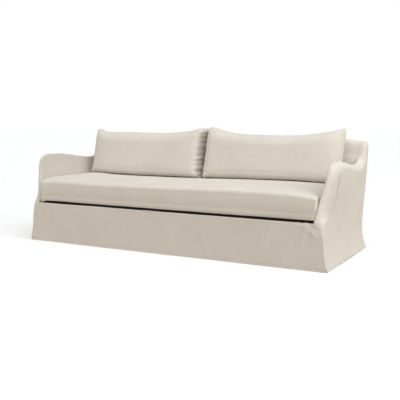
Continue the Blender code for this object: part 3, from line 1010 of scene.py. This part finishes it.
def pillowPoint(shape, topLine, a, b, face):
    centre, half = (shape["low"] + shape["high"]) / 2, (shape["high"] - shape["low"]) / 2
    x = centre + a * (half - backCushion["sideDraw"] * (1 - b * b))
    foot = seatTop(x, backCushion["footDepth"]) + backCushion["restGap"]
    top = topLine(x)
    height = mix(foot, top, (b + 1) / 2)
    depth = backCushion["footDepth"] + backCushion["lean"] * (height - backCushion["footHeight"])
    sideAway, endAway = half * (1 - abs(a)), (top - foot) / 2 * (1 - abs(b))
    sideTurn = shape["highTurn"] if a > 0 else shape["lowTurn"]
    endTurn = backCushion["topTurn"] if b > 0 else backCushion["footTurn"]
    side = roundTurn(sideAway, sideTurn)
    fill = side * roundTurn(endAway, endTurn)
    fill *= mix(backCushion["edgeFill"], 1.0, (1 - a ** 4) * (1 - b ** 4))
    edge = roundTurn(min(sideAway, endAway), backCushion["lipTurn"])
    lift = face * (backCushion["halfThick"] * fill + backCushion["lip"] * edge)
    if a < 0:
        lift += shape["lowForward"] * (1 - side)
    rise = lift * backCushion["lean"] * ease((b + 1) / 1.1)
    foot, top = ("highFoot", "highTop") if a > 0 else ("lowFoot", "lowTop")
    pushed = shape[foot] * ease((-b - 0.70) / 0.30) + shape[top] * ease((b - 0.50) / 0.50)
    x += pushed * abs(a) ** 24
    return place(x, depth - lift, height + rise)


def gathers(shape, co):  # short creases that run in from the side seams, as uneven as cloth
    out = 0.0
    for away, strength in ((co.x - shape["low"], shape["gatherLow"]),
                           (shape["high"] - co.x, shape["gatherHigh"])):
        fade = math.exp(-(max(0.0, away) / backCushion["gatherReach"]) ** 2)
        if fade > 0.01:
            spread = 1.6 * noise.noise(Vector((0.0, 0.3, co.z * 13.0)))
            wave = math.sin(co.z * 2 * math.pi / backCushion["gatherSpacing"] + 2.4 * spread)
            uneven = 0.5 + noise.noise(Vector((away * 12.0, 4.0, co.z * 21.0)))
            out += backCushion["gatherDeep"] * strength * fade * wave * uneven
    return out


def crumple(shape, co):  # the corner is pushed together in small sharp folds
    x, height = shape["crumpleAt"]
    away = math.hypot(co.x - x, co.z - height) / backCushion["crumpleReach"]
    if away > 2.5:
        return 0.0
    folds = 0.7 - 2.4 * abs(noise.noise(co * 42.0 + Vector((0.7, 0.0, 2.2))))
    return backCushion["crumple"] * math.exp(-away * away) * folds


def makeBackCushion(material, shape):
    topLine = curveThrough(shape["top"], 1)
    columns, rows = backCushion["columns"], backCushion["rows"]
    form = bmesh.new()
    ring = form.verts.layers.int.new("ring")
    for face in (1, -1):
        grid = bmesh.ops.create_grid(form, x_segments=columns, y_segments=rows, size=1.0)
        for vert in grid["verts"]:
            column = round((vert.co.x + 1) / 2 * columns)
            row = round((vert.co.y + 1) / 2 * rows)
            onSide = column in (1, columns - 1) and 1 <= row <= rows - 2
            onEnd = row in (1, rows - 2) and 1 <= column <= columns - 1
            vert[ring] = int(face == 1 and (onSide or onEnd))
            a, b = (math.copysign(abs(side) ** 0.80, side) for side in vert.co[:2])
            vert.co = pillowPoint(shape, topLine, a, b, face)
    bmesh.ops.remove_doubles(form, verts=form.verts, dist=cover["weld"])
    bmesh.ops.recalc_face_normals(form, faces=form.faces)
    if form.calc_volume(signed=True) < 0:
        bmesh.ops.reverse_faces(form, faces=form.faces)
    swell(form, backCushion["swell"])
    form.normal_update()
    mapFaces(form)
    seamTree = pointTree(alongEdges([edge for edge in form.edges
                                     if edge.verts[0][ring] and edge.verts[1][ring]]))
    bmesh.ops.subdivide_edges(form, edges=form.edges, cuts=1, smooth=0.6, use_grid_fill=True)
    seamAway, hemAway = awayLayers(form)
    form.normal_update()
    for vert in form.verts:
        away = seamTree.find(vert.co)[2] + cover["faintSeam"] * 0.5
        vert[seamAway] = min(farFromSeam, away)
        vert[hemAway] = farFromHem
        move = gathers(shape, vert.co) + crumple(shape, vert.co) + seamProfile(away)
        move += backCushion["waviness"] * noise.noise(vert.co * 4.5)
        vert.co += vert.normal * move
        lowest = seatTop(vert.co.x, depthOf(vert.co)) + backCushion["clearance"]
        vert.co.z = max(lowest, vert.co.z)
    piece = finishPiece(shape["name"], form, material, shape["node"], sharp=80)
    return piece


makeSeatCushion(linen)
print("seat cushion made")
for shape in backCushions:
    makeBackCushion(linen, shape)
print("back cushions made")


# floor, light and camera

studio = {
    "floor": (0.86, 0.86, 0.86, 1.0),
    "floorLight": (0.93, 0.93, 0.93, 1.0),
    "skyHigh": (0.965, 0.985, 1.0, 1.0),
    "skyLow": (1.0, 0.87, 0.70, 1.0),
    "skyHighStrength": 0.60,
    "skyLowStrength": 0.52,
    "keyStrength": 2.05,
    "keyAngle": 80.0,
    "keyFrom": (0.28, -0.46, 0.74),
    "sidePower": 50.0,
    "sideSize": 2.2,
    "sideColor": (0.95, 0.98, 1.0),
    "sidePlace": (4.2, -0.6, 1.9),
    "sideAim": (1.2, 0.1, 0.60),
}

camera = {
    "place": (2.416, -4.328, 0.9446),
    "tilt": 90.0 - 6.96,
    "turn": 28.6,
    "lens": 57.9,
}


def makeFloor():
    form = bmesh.new()
    bmesh.ops.create_grid(form, x_segments=1, y_segments=1, size=40.0)
    mesh = bpy.data.meshes.new("floor")
    form.to_mesh(mesh)
    form.free()
    board = Board(bpy.data.materials.new("paleFloor"))
    grain = board.noise(board.add("ShaderNodeTexCoord", output=3), 3.0)
    board.set("Principled BSDF", {
        "Base Color": board.blend(grain, studio["floor"], studio["floorLight"]),
        "Roughness": 0.9,
        "Specular IOR Level": 0.0})
    mesh.materials.append(board.owner)
    floor = bpy.data.objects.new("floor", mesh)
    floor.visible_diffuse = False
    bpy.context.scene.collection.objects.link(floor)


def placeLight(light, comesFrom, location=(0.0, 0.0, 0.0)):
    lamp = bpy.data.objects.new(light.name, light)
    lamp.location = location
    lamp.rotation_mode = "QUATERNION"
    lamp.rotation_quaternion = Vector(comesFrom).to_track_quat("Z", "Y")
    bpy.context.scene.collection.objects.link(lamp)
    return lamp


def makeSun():
    light = bpy.data.lights.new("key", "SUN")
    light.energy = studio["keyStrength"]
    light.angle = math.radians(studio["keyAngle"])
    placeLight(light, studio["keyFrom"])


def makeSideLight():  # a large soft box to the right
    light = bpy.data.lights.new("side", "AREA")
    light.energy = studio["sidePower"]
    light.size = studio["sideSize"]
    light.color = studio["sideColor"]
    toward = Vector(studio["sidePlace"]) - Vector(studio["sideAim"])
    placeLight(light, toward, studio["sidePlace"]).visible_camera = False


def makeWorld():  # a soft sky, brighter and cooler above, and seen as plain white
    world = bpy.data.worlds.new("studio")
    sky = Board(world)
    toward = sky.add("ShaderNodeTexCoord")
    up = sky.add("ShaderNodeSeparateXYZ", None, {0: toward}, output=2)
    low = [part * studio["skyLowStrength"] for part in studio["skyLow"]]
    high = [part * studio["skyHighStrength"] for part in studio["skyHigh"]]
    lit = sky.add("ShaderNodeBackground", None, {
        "Color": sky.blend(sky.between(up, -0.5, 0.7), low, high)})
    seen = sky.add("ShaderNodeBackground", None, {"Color": (1.0, 1.0, 1.0, 1.0)})
    fromCamera = sky.add("ShaderNodeLightPath")
    swap = sky.add("ShaderNodeMixShader", None, {0: fromCamera, 1: lit, 2: seen})
    sky.set("World Output", {"Surface": swap})
    bpy.context.scene.world = world


def makeCamera():
    lens = bpy.data.cameras.new("camera")
    lens.lens = camera["lens"]
    lens.sensor_width = 36.0
    lens.clip_end = 200.0
    view = bpy.data.objects.new("camera", lens)
    view.location = camera["place"]
    view.rotation_euler = (math.radians(camera["tilt"]), 0.0, math.radians(camera["turn"]))
    bpy.context.scene.collection.objects.link(view)
    bpy.context.scene.camera = view


makeFloor()
makeSun()
makeSideLight()
makeWorld()
makeCamera()
bpy.context.scene.view_settings.view_transform = "Standard"
print("floor, light and camera made")
